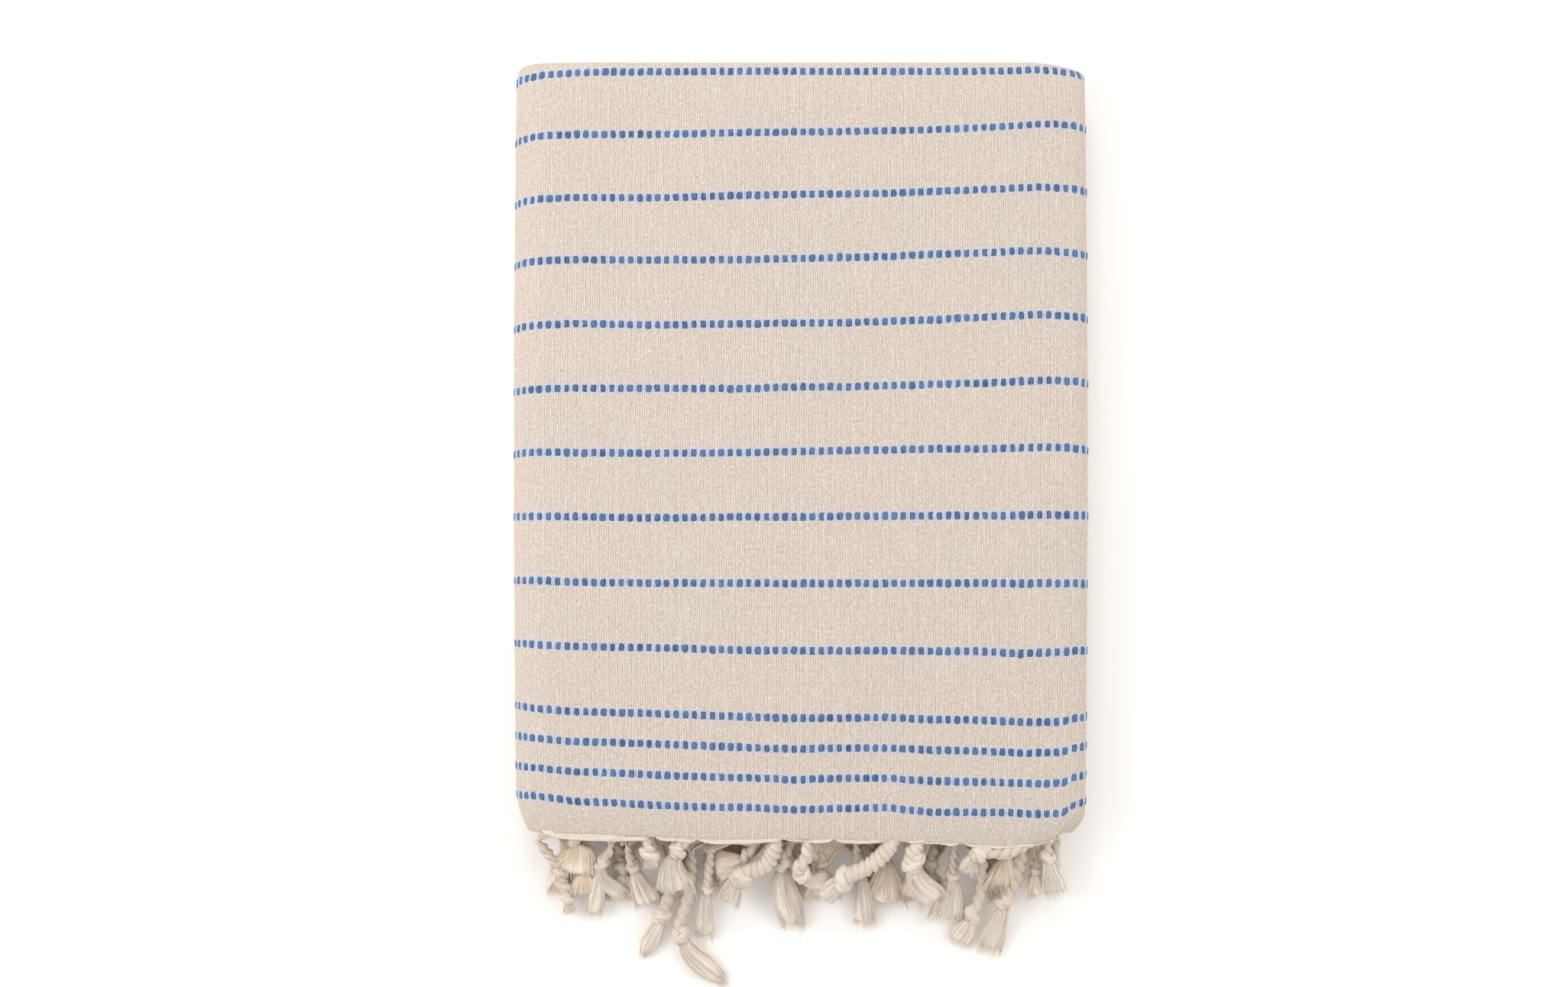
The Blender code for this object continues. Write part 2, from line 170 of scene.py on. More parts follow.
def hemReach(across, height):
    # each layer's own reach at the hem, eased between its places and blended between the layers
    spot = np.interp(across, hemPlaces, np.arange(len(hemPlaces)))
    first = np.clip(np.floor(spot).astype(int), 0, len(hemPlaces) - 2)
    share = ease(spot - first)
    total = 0.0
    for level, reach in zip(layerHeights, hemOut):
        weight = np.clip(1 - np.abs(height - level) / fold["packet"], 0, 1)
        total = total + weight * (reach[first] * (1 - share) + reach[first + 1] * share)
    return total


def place(across, height, leanX, leanZ, along, lift):
    # a point lifted off its layer, then settled: squashed at the edges, skewed and drawn out at the hem
    x = across + lift * leanX
    z = height + lift * leanZ
    share = along / fold["length"]
    side = x / halfWidth
    far = ramp(along - fold["length"] + lie["farSlope"], lie["farSlope"])
    drop = (lie["leftDrop"] * ramp(-x - halfWidth + lie["leftSlope"], lie["leftSlope"])
            + lie["rightDrop"] * ramp(x - halfWidth + lie["rightSlope"], lie["rightSlope"])
            + lie["farDrop"] * far + lie["nearDrop"] * ramp(lie["nearSlope"] - along, lie["nearSlope"]))
    for wide, long, start, size in lie["waves"]:
        drop = drop - size * np.sin(2 * np.pi * (x / (wide * mm) + along / (long * mm)) + start)
    near = np.exp(-np.clip(along, 0, None) / lie["riseFades"])
    creaseX = lie["creaseAt"] + lie["creaseLean"] * (lie["creaseFrom"] - along)
    crease = np.exp(-((x - creaseX) / lie["creaseWide"]) ** 2)
    drop = drop + lie["creaseDepth"] * crease * near
    bulge = lie["farBulge"] * np.sin(np.pi * z / stackHeight) * far - lie["farTrim"] * ease(share * 2 - 1)
    cut = (lie["farRightCut"] * ramp(x - halfWidth + lie["farRightLength"], lie["farRightLength"])
           + lie["farLeftCut"] * ramp(-x - halfWidth + lie["farLeftLength"], lie["farLeftLength"])) * share
    skew = lie["hemSkew"] * side * (1 - share)
    bow = lie["sideBow"] * side * 4 * share * (1 - share)
    corner = np.clip((np.abs(x) - lie["cornerFrom"]) / (lie["cornerTo"] - lie["cornerFrom"]), 0, 1)
    long = np.where(x < 0, lie["leftCorner"], lie["rightCorner"])
    pull = np.sign(x) * lie["cornerPull"] * corner * ramp(long - along, long)
    risen = sum(part * ease((x - start) / size) for part, start, size in lie["riseSteps"])
    y = along - fold["length"] / 2 - skew + bulge - cut + lie["cornerRise"] * near * risen
    y = y - hemReach(across, height) * np.clip(1 - along / lie["hemLength"], 0, 1)
    return np.stack(np.broadcast_arrays(x + bow - pull, y, z * (1 - drop)), -1)


lengthway, widthway = lengthLine(), widthLine()
outer = 2 * fold["ply"] + fold["sheet"] / 2            # the outer face of the outer ply
outerLine = widthway[:, :2] + outer * widthway[:, 2:4]
outerWay = np.concatenate([[0.0], np.cumsum(np.hypot(*np.diff(outerLine, axis=0).T))])
print("fold lines", len(widthway), "by", len(lengthway), "flat", widthway[-1, 4], lengthway[-1, 4])

# The rows of blue dashes: each one's distance from the hem along the cloth, and one dash and its ties
rows = {
    "first": 13.03 * mm, "closePitch": 13.2 * mm, "closeRows": 4, "pitch": 28.31 * mm, "onTop": 14,
    "dashPitch": 3.92 * mm, "dashAt": 20.9 * mm,
    "wide": 2.85 * mm, "long": 3.5 * mm, "thick": 0.55 * mm, "sunk": 0.12 * mm,
    "pastLeft": 14 * mm, "pastRight": 9 * mm,        # how far the dashes go on below the stack's sides
    "tieLong": 4.1 * mm, "tieRadius": 0.17 * mm, "tieAside": 0.40 * mm,
}
rowPlaces = rows["first"] + np.concatenate([
    rows["closePitch"] * np.arange(rows["closeRows"]),
    rows["closePitch"] * (rows["closeRows"] - 1) + rows["pitch"] * np.arange(1, rows["onTop"] - 3)])


# How far up the cloth the rows stray, from the hem's row to the far one, at places across it
strayPlaces = np.array(
    (-125, -114.9, -98.2, -61.8, -22.2, -2.3, 17.5, 37.3, 57.1, 77.0, 93.5, 113.4, 125)) * mm
strays = np.array((
    (2.6, 3.5, 1.6, 1.1, 1.1, 0.0, 1.0, 1.9, 0.2, 1.1, 1.8, -0.3, 3.0),
    (2.4, 2.6, 1.4, 1.0, 0.6, 0.1, 1.1, 1.6, 0.6, 1.1, 1.1, 0.1, 2.3),
    (2.7, 2.4, 1.4, 1.2, 0.5, 0.2, 1.2, 1.6, 1.2, 1.2, 0.8, 0.6, 2.5),
    (3.5, 2.3, 1.3, 1.2, 0.6, 0.5, 1.0, 1.7, 1.2, 1.4, 1.0, 0.8, 2.8),
    (2.4, 2.0, 1.5, 1.7, 1.3, 1.6, 1.9, 2.4, 2.4, 2.8, 2.2, 3.1, 4.2),
    (2.0, 1.8, 1.4, 1.5, 2.4, 2.4, 2.9, 3.2, 3.6, 4.0, 4.0, 4.7, 5.6),
    (1.9, 1.8, 1.7, 1.8, 2.9, 3.1, 3.7, 4.1, 4.5, 4.9, 5.2, 6.0, 7.2),
    (1.6, 1.6, 1.6, 1.7, 2.5, 3.3, 3.9, 4.4, 5.2, 5.4, 6.0, 7.1, 7.6),
    (1.0, 1.0, 1.5, 1.9, 2.1, 3.1, 3.3, 4.1, 5.0, 5.6, 6.4, 7.9, 8.9),
    (1.0, 1.0, 1.8, 1.4, 2.4, 2.8, 3.1, 3.9, 4.8, 5.9, 7.0, 8.0, 9.2),
    (1.2, 1.2, 1.8, 1.9, 2.3, 2.9, 3.5, 4.0, 5.2, 5.8, 6.7, 7.5, 9.0),
    (0.4, 0.4, 0.9, 1.0, 2.3, 2.9, 3.1, 3.4, 4.4, 5.1, 5.9, 7.2, 9.0),
    (0.1, 0.1, 0.5, 0.7, 1.6, 1.9, 2.2, 2.5, 3.0, 3.9, 4.8, 6.8, 8.6),
    (-1.6, -1.6, -0.4, 0.1, 0.4, 0.4, 0.2, 0.2, 0.2, 0.3, 0.5, 1.5, 3.0),
)) * mm


def rowShift(x, along):
    # blended between the rows and between the places across them
    x, along = np.broadcast_arrays(x, along)
    row = np.minimum(np.interp(along, rowPlaces, np.arange(len(rowPlaces))), len(rowPlaces) - 1.001)
    spot = np.minimum(np.interp(x, strayPlaces, np.arange(len(strayPlaces))), len(strayPlaces) - 1.001)
    first, left = row.astype(int), spot.astype(int)
    up, across = row - first, spot - left
    near = strays[first, left] * (1 - across) + strays[first, left + 1] * across
    far = strays[first + 1, left] * (1 - across) + strays[first + 1, left + 1] * across
    return near * (1 - up) + far * up


def clothPoint(u, along, lift):
    # a point of the outer ply: u is the way across its outer face, along the way up it from the hem
    across, height, leanX, leanZ = (np.interp(u, outerWay, widthway[:, i]) for i in range(4))
    size = np.hypot(leanX, leanZ)
    up, level, leanUp, leanLevel = (np.interp(along, lengthway[:, 4], lengthway[:, i]) for i in range(4))
    reach = fold["sheet"] / 2 + lift
    return place(across, height, leanX / size, leanZ / size, up + reach * leanUp, level + reach * leanLevel)


def startHeap():
    return {"points": [], "faces": [], "marks": [], "count": 0}


def addFaces(heap, points, groups):
    # each group is faces of one size and the marks of their corners
    for faces, marks in groups:
        heap["faces"].append(faces + heap["count"])
        heap["marks"].append(marks)
    heap["points"].append(points.reshape(-1, 3))
    heap["count"] += points.size // 3


def addToScene(name, data):
    piece = bpy.data.objects.new(name, data)
    bpy.context.scene.collection.objects.link(piece)
    return piece


def makePiece(name, heap, material):
    # all the faces of a heap as one mesh, with its marks as its UV map
    points = np.vstack(heap["points"]).astype(np.float32)
    sizes = np.concatenate([np.full(len(faces), faces.shape[1]) for faces in heap["faces"]])
    corners = np.concatenate([faces.ravel() for faces in heap["faces"]]).astype(np.int32)
    marks = np.concatenate([marks.reshape(-1, 2) for marks in heap["marks"]]).astype(np.float32)
    mesh = bpy.data.meshes.new(name)
    mesh.vertices.add(len(points))
    mesh.vertices.foreach_set("co", points.ravel())
    mesh.loops.add(len(corners))
    mesh.loops.foreach_set("vertex_index", corners)
    mesh.polygons.add(len(sizes))
    mesh.polygons.foreach_set("loop_start", np.concatenate([[0], np.cumsum(sizes)[:-1]]).astype(np.int32))
    mesh.update(calc_edges=True)
    mesh.shade_smooth()
    layer = mesh.uv_layers.new(name="thread")
    layer.uv.foreach_set("vector", marks.ravel())
    mesh.materials.append(material)
    piece = addToScene(name, mesh)
    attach(piece, "root")
    print(name, "faces", len(sizes), "triangles", int((sizes - 2).sum()))
    return piece


# Materials: small helpers that add one node and join its inputs
def addNode(tree, kind, inputs, **settings):
    node = tree.nodes.new(kind)
    for name, value in settings.items():
        setattr(node, name, value)
    for key, value in inputs.items():
        if isinstance(value, bpy.types.NodeSocket):
            tree.links.new(value, node.inputs[key])
        else:
            node.inputs[key].default_value = value
    return node


def calc(tree, operation, *values):
    return addNode(tree, "ShaderNodeMath", dict(enumerate(values)), operation=operation).outputs[0]


def times(tree, value, *others):
    # the product of them all
    for other in others:
        value = calc(tree, "MULTIPLY", value, other)
    return value


def fade(tree, value, low, high, to=(0.0, 1.0)):
    # eases from one value to the other as the input goes from low to high
    inputs = {"Value": value, "From Min": low, "From Max": high, "To Min": to[0], "To Max": to[1]}
    return addNode(tree, "ShaderNodeMapRange", inputs, interpolation_type="SMOOTHSTEP").outputs[0]


def blendColour(tree, share, first, second, way="MIX"):
    node = addNode(tree, "ShaderNodeMix", {0: share}, data_type="RGBA", blend_type=way)
    for socket, value in ((node.inputs[6], first), (node.inputs[7], second)):
        if isinstance(value, bpy.types.NodeSocket):
            tree.links.new(value, socket)
        else:
            socket.default_value = (*value, 1.0)
    return node.outputs[2]


def noise(tree, vector, scale, detail=2.0, roughness=0.5):
    inputs = {"Vector": vector, "Scale": scale, "Detail": detail, "Roughness": roughness}
    return addNode(tree, "ShaderNodeTexNoise", inputs).outputs[0]


def threadMap(tree):
    return addNode(tree, "ShaderNodeUVMap", {}, uv_map="thread").outputs[0]


def scaled(tree, vector, first, second):
    inputs = {0: vector, 1: (first, second, 1.0)}
    return addNode(tree, "ShaderNodeVectorMath", inputs, operation="MULTIPLY").outputs[0]


def joinShader(tree, shader, colour, height, strength, relief):
    tree.links.new(colour, shader.inputs["Base Color"])
    bump = addNode(tree, "ShaderNodeBump", {"Height": height, "Strength": strength, "Distance": relief})
    tree.links.new(bump.outputs[0], shader.inputs["Normal"])


def startMaterial(name, roughness, sheen, sheenTint):
    material = bpy.data.materials.new(name)
    material.use_nodes = True
    tree = material.node_tree
    shader = tree.nodes["Principled BSDF"]
    shader.inputs["Roughness"].default_value = roughness
    shader.inputs["Specular IOR Level"].default_value = 0.2
    shader.inputs["Sheen Weight"].default_value = sheen
    shader.inputs["Sheen Roughness"].default_value = 0.5
    shader.inputs["Sheen Tint"].default_value = (*sheenTint, 1.0)
    return material, tree, shader


def dotsAway(tree, value, pitch, offset):
    # distance to the nearest of evenly spaced places: | (v - offset + p/2) mod p - p/2 |
    moved = calc(tree, "ADD", value, pitch / 2 - offset)
    inside = calc(tree, "FLOORED_MODULO", moved, pitch)
    return calc(tree, "ABSOLUTE", calc(tree, "SUBTRACT", inside, pitch / 2))


woven = {
    "base": (0.676, 0.588, 0.514),
    "warm": (0.700, 0.584, 0.504),
    "pale": (0.845, 0.778, 0.706),
    "gap": (0.370, 0.282, 0.208),
    "blue": (0.060, 0.125, 0.290),
    "halo": (0.590, 0.630, 0.730),
    "rib": 1.96 * mm,           # a pair of ribs, half the pitch of the dashes
    "pick": 1.33 * mm,
    "wobble": 1.0 * mm, "jolt": 1.5 * mm, "fray": 1.0 * mm,
    # how much of each shows
    "slubs": 0.35, "beads": 0.70, "lines": 0.86, "specks": 0.6, "grains": 0.26, "halos": 0.62,
    "openings": 0.5, "relief": 0.28 * mm,
}


def wovenCotton():
    # a plain weave with ribs along the cloth: beads of thread, broken dark lines between them, specks,
    # and the dyed dashes under the floats
    material, tree, shader = startMaterial("wovenCotton", 0.92, 0.12, (0.95, 0.92, 0.88))
    marks = threadMap(tree)
    u, v = addNode(tree, "ShaderNodeSeparateXYZ", {"Vector": marks}).outputs[:2]

    def drawn(long, wide=1.0):
        return scaled(tree, marks, wide, long)

    def wave(at):
        return calc(tree, "ABSOLUTE", calc(tree, "SINE", times(tree, at, math.pi)))

    def strayed(vector, scale, detail, reach):
        # an uneven shift, up to half the reach each way
        return times(tree, calc(tree, "SUBTRACT", noise(tree, vector, scale, detail), 0.5), reach)

    def laid(below, share, amount, name):
        return blendColour(tree, times(tree, share, woven[amount]), below, woven[name])

    wobble = strayed(drawn(0.3), 420.0, 2.0, woven["wobble"])
    jolt = strayed(marks, 330.0, 1.0, woven["jolt"])
    pairAt = calc(tree, "DIVIDE", calc(tree, "ADD", u, wobble), woven["rib"])
    pickAt = calc(tree, "DIVIDE", calc(tree, "ADD", v, jolt), woven["pick"])
    ribAt = times(tree, pairAt, 2.0)
    odd = times(tree, calc(tree, "FLOOR", ribAt), 0.5)
    pair, rib, pick = wave(pairAt), wave(ribAt), wave(calc(tree, "ADD", pickAt, odd))
    swell = calc(tree, "ADD", 0.55, times(tree, calc(tree, "POWER", pick, 0.7), 0.45))
    thread = times(tree, calc(tree, "POWER", rib, 0.6), swell)
    # the dark lines: strong ones between pairs, faint ones inside them, both darker where a pick dips
    dip = fade(tree, pick, 0.85, 0.15, (0.3, 1.0))
    pairOpen = fade(tree, noise(tree, drawn(0.6), 560.0, 2.0, 0.6), 0.40, 0.62, (0.05, 1.0))
    ribOpen = fade(tree, noise(tree, drawn(0.6), 700.0, 2.0, 0.6), 0.42, 0.62, (0.0, 0.85))
    pairLine = times(tree, fade(tree, pair, 0.50, 0.05), pairOpen, dip)
    ribLine = times(tree, fade(tree, rib, 0.75, 0.1), ribOpen, dip)
    line = calc(tree, "MAXIMUM", pairLine, ribLine)
    fibre = noise(tree, drawn(0.35), 1500.0, 2.0, 0.6)
    grain = noise(tree, drawn(0.8), 2300.0, 1.0)
    patch = noise(tree, marks, 14.0, 3.0, 0.55)
    slub = noise(tree, drawn(1.0, 9.0), 60.0)
    crown = calc(tree, "ADD", 0.55, times(tree, thread, 0.45))
    bead = times(tree, noise(tree, drawn(0.6), 1300.0, 0.0), crown)
    speck = fade(tree, noise(tree, marks, 640.0, 1.0), 0.725, 0.775)

    cloth = blendColour(tree, fade(tree, patch, 0.35, 0.65), woven["base"], woven["warm"])
    cloth = laid(cloth, fade(tree, slub, 0.5, 0.75), "slubs", "pale")
    cloth = laid(cloth, fade(tree, bead, 0.38, 0.61), "beads", "pale")
    cloth = laid(cloth, line, "lines", "gap")
    cloth = laid(cloth, speck, "specks", "gap")
    cloth = blendColour(tree, fade(tree, grain, 0.52, 0.34, (0.0, woven["grains"])), cloth, woven["gap"])

    # the rows, folded about the cloth's middle: close rows by the hem, then wide ones
    total = float(lengthway[-1, 4])
    fromHem = calc(tree, "MINIMUM", v, calc(tree, "SUBTRACT", total, v))
    closeEnd = rows["first"] + rows["closePitch"] * (rows["closeRows"] - 1)
    close = dotsAway(tree, fromHem, rows["closePitch"], rows["first"])
    wide = dotsAway(tree, fromHem, rows["pitch"], closeEnd)
    beyond = calc(tree, "GREATER_THAN", fromHem, closeEnd + rows["closePitch"] / 2)
    before = times(tree, calc(tree, "SUBTRACT", 1.0, beyond), close)
    rowAway = calc(tree, "ADD", before, times(tree, beyond, wide))
    dashAway = dotsAway(tree, u, rows["dashPitch"], float(dashStart))
    frayed = strayed(marks, 700.0, 2.0, woven["fray"])
    rowEdge = calc(tree, "ADD", rowAway, frayed)
    pastLip = calc(tree, "GREATER_THAN", fromHem, rows["first"] - rows["closePitch"] / 2)
    inRow = times(tree, pastLip, fade(tree, rowEdge, 2.7 * mm, 1.6 * mm))
    blueRow = times(tree, pastLip, fade(tree, rowEdge, 1.72 * mm, 1.4 * mm))
    blueDash = fade(tree, calc(tree, "ADD", dashAway, frayed), 1.2 * mm, 0.85 * mm)
    # a small dark opening between the ties, at the top and bottom of each gap
    gapAway = calc(tree, "SUBTRACT", rows["dashPitch"] / 2, dashAway)
    endAway = calc(tree, "ABSOLUTE", calc(tree, "SUBTRACT", rowAway, 1.55 * mm))
    gapMiddle = times(tree, fade(tree, gapAway, 0.34 * mm, 0.12 * mm), pastLip)
    opening = times(tree, fade(tree, endAway, 0.4 * mm, 0.2 * mm), gapMiddle)
    colour = laid(cloth, inRow, "halos", "halo")
    colour = laid(colour, opening, "openings", "gap")
    colour = blendColour(tree, times(tree, blueRow, blueDash), colour, woven["blue"])
    height = calc(tree, "ADD", thread, times(tree, fibre, 0.5))
    joinShader(tree, shader, colour, height, 1.0, woven["relief"])
    return material


# Every yarn: darkest and lightest colour, roughness, streaks to a metre, their relief, and how soft it is
yarnColumns = ("dark", "light", "roughness", "streaks", "relief", "soft")
yarns = {
    "blueYarn": ((0.040, 0.088, 0.215), (0.115, 0.205, 0.405), 0.85, 2400.0, 0.14 * mm, 0.0),
    "whiteTie": ((0.680, 0.700, 0.760), (0.860, 0.870, 0.900), 0.85, 3000.0, 0.05 * mm, 0.0),
    "cordYarn": ((0.635, 0.515, 0.405), (0.820, 0.736, 0.645), 0.88, 2400.0, 0.20 * mm, 0.0),
    "combedYarn": ((0.870, 0.730, 0.600), (0.950, 0.865, 0.765), 0.85, 2300.0, 0.20 * mm, 0.4),
    "looseYarn": ((0.890, 0.765, 0.645), (0.960, 0.880, 0.790), 0.80, 900.0, 0.02 * mm, 0.4),
    # the next yarn is painted shade: a darker, warmer copy of the brush yarn for the threads that lie in the
    # shade under the hem
    "paintedShadeYarn": ((0.790, 0.620, 0.465), (0.890, 0.770, 0.640), 0.85, 1200.0, 0.05 * mm, 0.0),
    "warpEnds": ((0.680, 0.575, 0.475), (0.820, 0.738, 0.645), 0.85, 1200.0, 0.08 * mm, 0.0),
}


def yarnMaterial(name):
    # yarn: colour and relief run in streaks along each thread, across its own width
    yarn = dict(zip(yarnColumns, yarns[name]))
    material, tree, shader = startMaterial(name, yarn["roughness"], 0.15, (0.95, 0.93, 0.9))
    marks = threadMap(tree)
    streak = noise(tree, scaled(tree, marks, 0.12, 1.0), yarn["streaks"], 2.0, 0.6)
    patch = noise(tree, addNode(tree, "ShaderNodeTexCoord", {}).outputs["Object"], 90.0)
    shader.inputs["Subsurface Weight"].default_value = yarn["soft"]
    shader.inputs["Subsurface Radius"].default_value = (1.0, 1.0, 1.0)
    shader.inputs["Subsurface Scale"].default_value = 1.2 * mm
    mixed = calc(tree, "ADD", times(tree, streak, 0.7), times(tree, patch, 0.3))
    colour = blendColour(tree, fade(tree, mixed, 0.36, 0.6), yarn["dark"], yarn["light"])
    joinShader(tree, shader, colour, streak, 0.7, yarn["relief"])
    return material


# The cloth, both faces of the folded sheet on one closed outline
def buildCloth():
    # the outline is the length line moved half a sheet to each side, with a round lip at each hem
    half = fold["sheet"] / 2
    up, level, leanUp, leanLevel, way = lengthway.T
    front = np.stack([up + half * leanUp, level + half * leanLevel, way], 1)
    rear = np.stack([up - half * leanUp, level - half * leanLevel, way], 1)[::-1]
    lipNear = [[-0.35 * mm, 2 * fold["ply"], 0.0]]
    lipFar = [[up[-1] + 0.35 * mm, level[-1], way[-1]]]
    outline = np.vstack([front, lipFar, rear, lipNear])
    across, height, leanX, leanZ, midWay = (column[:, None] for column in widthway.T)
    points = place(across, height, leanX, leanZ, outline[None, :, 0], outline[None, :, 1])
    onOuter = 1 - ease((outline[None, :, 2] - 350 * mm) / (120 * mm))
    u = outerWay[:, None] * onOuter + midWay * (1 - onOuter)
    v = outline[None, :, 2]
    for settle in range(4):      # v is the place before the rows' shift, found by going round a few times
        v = outline[None, :, 2] - rowShift(across, v) * onOuter
    stations, count = points.shape[:2]
    index = np.arange(stations * count).reshape(stations, count)
    beside = np.roll(index, -1, axis=1)
    walls = np.stack([index[:-1], index[1:], beside[1:], beside[:-1]], -1).reshape(-1, 4)
    # both selvedges are closed by rungs between the faces, with a triangle at each lip
    size = len(front)
    rung = np.arange(size - 1)
    mirror = 2 * size - rung
    first = np.stack([index[0, rung], index[0, rung + 1], index[0, mirror - 1], index[0, mirror]], -1)
    last = np.stack([index[-1, rung], index[-1, mirror], index[-1, mirror - 1], index[-1, rung + 1]], -1)
    lips = np.array([[index[s, size - 1], index[s, size], index[s, size + 1]] for s in (0, -1)]
                    + [[index[s, 2 * size + 1], index[s, 0], index[s, 2 * size]] for s in (0, -1)])
    lips[1::2] = lips[1::2, ::-1]
    marks = np.stack(np.broadcast_arrays(u, v), -1).reshape(-1, 2)
    flat = points.reshape(-1, 3)
    heap = startHeap()
    addFaces(heap, flat, [(faces, marks[faces]) for faces in (walls, np.vstack([first, last]), lips)])
    return heap


def outward(heap):
    # six times the volume inside closed faces: the sum of p0 . (p1 x p2) over their fans
    points = np.vstack(heap["points"])
    total = 0.0
    for faces in heap["faces"]:
        for corner in range(1, faces.shape[1] - 1):
            a, b, c = (points[faces[:, i]] for i in (0, corner, corner + 1))
            total += float(np.einsum("ij,ij->i", a, np.cross(b, c)).sum())
    if total < 0:
        heap["faces"] = [faces[:, ::-1] for faces in heap["faces"]]
        heap["marks"] = [marks[:, ::-1] for marks in heap["marks"]]
    return heap


onTop = outerLine[:, 1] > stackHeight - mm
dashStart = np.interp(0.0, outerLine[onTop, 0], outerWay[onTop]) + rows["dashAt"]
cloth = makePiece("towelCloth", outward(buildCloth()), wovenCotton())
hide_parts("cloth")


# The dashes that show: little pads of blue thread, and the white ties between them
def dashCentres():
    right = np.argmax(outerLine[:, 0] * (outerLine[:, 1] > layerHeights[2]))
    low = outerWay[np.argmin(outerLine[:, 0])] - rows["pastLeft"]
    high = outerWay[right] + rows["pastRight"]
    pitch = rows["dashPitch"]
    number = np.arange(math.ceil((low - dashStart) / pitch), math.floor((high - dashStart) / pitch) + 1)
    u, v = np.meshgrid(dashStart + number * pitch, rowPlaces)
    return u.ravel(), v.ravel()


def buildDashes():
    # a pad's height is (1 - a^4)(1 - b^6)(0.7 + 0.3 |sin 2 pi b|), with a across it and b along it
    u, v = dashCentres()
    size = len(u)
    b, a = (grid.ravel() for grid in np.meshgrid(np.linspace(-1, 1, 9), np.linspace(-1, 1, 5)))
    wide = rows["wide"] * np.clip(chance.normal(0.98, 0.15, (size, 1)), 0.6, 1.22)
    long = rows["long"] * chance.normal(0.99, 0.055, (size, 1))
    turn = chance.normal(0.04, 0.06, (size, 1))
    across = a * wide / 2 * (1 - 0.24 * b ** 4) * (1 + 0.07 * chance.normal(0, 1, (size, 1)) * b)
    along = b * long / 2 * (1 - 0.2 * a ** 4)
    pad = (1 - a ** 4) * (1 - b ** 6) * (0.7 + 0.3 * np.abs(np.sin(2 * np.pi * b)))
    lift = pad * rows["thick"] * chance.uniform(0.85, 1.1, (size, 1)) - rows["sunk"]
    spotU = u[:, None] + chance.normal(0, 0.13 * mm, (size, 1)) + across - turn * along
    spotV = v[:, None] + chance.normal(0, 0.13 * mm, (size, 1)) + along + turn * across
    x = np.interp(spotU, outerWay, outerLine[:, 0])
    points = clothPoint(spotU, spotV + rowShift(x, spotV), lift)
    index = np.arange(45).reshape(5, 9)
    quads = np.stack([index[:-1, :-1], index[1:, :-1], index[1:, 1:], index[:-1, 1:]], -1).reshape(-1, 4)
    rim = np.concatenate([index[:, 0][::-1], index[0, 1:], index[1:, -1], index[-1, 1:-1][::-1]])[None]
    steps = np.arange(size)[:, None, None] * 45
    marks = np.stack([spotV, spotU], -1).reshape(-1, 2)
    heap = startHeap()
    groups = [(faces + steps).reshape(-1, faces.shape[1]) for faces in (quads, rim)]
    addFaces(heap, points, [(faces, marks[faces]) for faces in groups])
    return outward(heap)


def buildTies():
    # thin white threads over the gaps, each a tube of four sides that leans a little
    u, v = dashCentres()
    u = np.concatenate([u - rows["tieAside"], u + rows["tieAside"]]) + rows["dashPitch"] / 2
    v = np.concatenate([v, v])
    keep = chance.uniform(size=len(u)) > 0.1
    u, v = u[keep][:, None], v[keep][:, None]
    size = len(u)
    way = np.linspace(-1, 1, 7)
    lean = chance.normal(0.2, 0.16, (size, 1)) * mm
    long = rows["tieLong"] / 2 * chance.uniform(0.8, 1.12, (size, 1))
    spotU = u + chance.normal(0, 0.1 * mm, (size, 1)) + lean * way
    spotU = spotU + chance.normal(0, 0.06 * mm, (size, 1)) * way ** 2
    spotV = v + long * way + chance.normal(0, 0.12 * mm, (size, 1))
    lift = (0.36 * (1 - way ** 4) - 0.16) * mm * chance.uniform(0.85, 1.15, (size, 1))
    radius = rows["tieRadius"] * chance.uniform(0.8, 1.2, (size, 1, 1))
    angle = circle(4) + np.pi / 4
    ringU = spotU[..., None] + radius * np.cos(angle)
    ringLift = lift[..., None] + radius * np.sin(angle)
    ringV = np.broadcast_to(spotV[..., None], ringU.shape)
    x = np.interp(ringU, outerWay, outerLine[:, 0])
    rings = clothPoint(ringU, ringV + rowShift(x, ringV), ringLift)
    heap = startHeap()
    addTubes(heap, rings, long * way, 1.2 * mm)
    return outward(heap)


def circle(count):
    return np.linspace(0, 2 * np.pi, count, endpoint=False)


def addTubes(heap, rings, along, around):
    # tubes x rings x sides: a wall between rings and a lid on each end, marked along and around the tube
    tubes, count, sides = rings.shape[:3]
    index = np.arange(tubes * count * sides).reshape(tubes, count, sides)
    beside = np.roll(index, -1, axis=2)
    walls = np.stack([index[:, :-1], index[:, 1:], beside[:, 1:], beside[:, :-1]], -1).reshape(-1, 4)
    turn = np.arange(sides) / sides * around
    low, high, there = along[..., :-1, None], along[..., 1:, None], turn + around / sides
    corners = (low, turn, high, turn, high, there, low, there)
    wallMarks = np.stack([np.broadcast_to(mark, (tubes, count - 1, sides)) for mark in corners], -1)
    lids = np.concatenate([index[:, 0], index[:, -1, ::-1]])
    angle = turn / around * 2 * np.pi
    lidMarks = np.zeros((*lids.shape, 2)) + np.stack([np.cos(angle), np.sin(angle)], -1) * around / 6
    addFaces(heap, rings, [(walls, wallMarks.reshape(-1, 4, 2)), (lids, lidMarks)])


dashes = makePiece("blueDashes", buildDashes(), yarnMaterial("blueYarn"))
ties = makePiece("whiteTies", buildTies(), yarnMaterial("whiteTie"))

# The fringe. Each kind of cord: radius and one turn's length in mm, how deep the groove between its two
# strands is as a share of the radius, and the mm from ring to ring
cords = {
    "tight": {"radius": 3.85, "lead": 6.2, "groove": 0.20, "ring": 0.5},
    "rope": {"radius": 3.05, "lead": 10.0, "groove": 0.42, "ring": 0.7},
    "thin": {"radius": 2.35, "lead": 8.0, "groove": 0.42, "ring": 0.6},
    "loose": {"radius": 2.2, "lead": 14.0, "groove": 0.3, "ring": 0.9},
    "lumpy": {"radius": 2.45, "lead": 8.0, "groove": 0.42, "ring": 0.6},
}

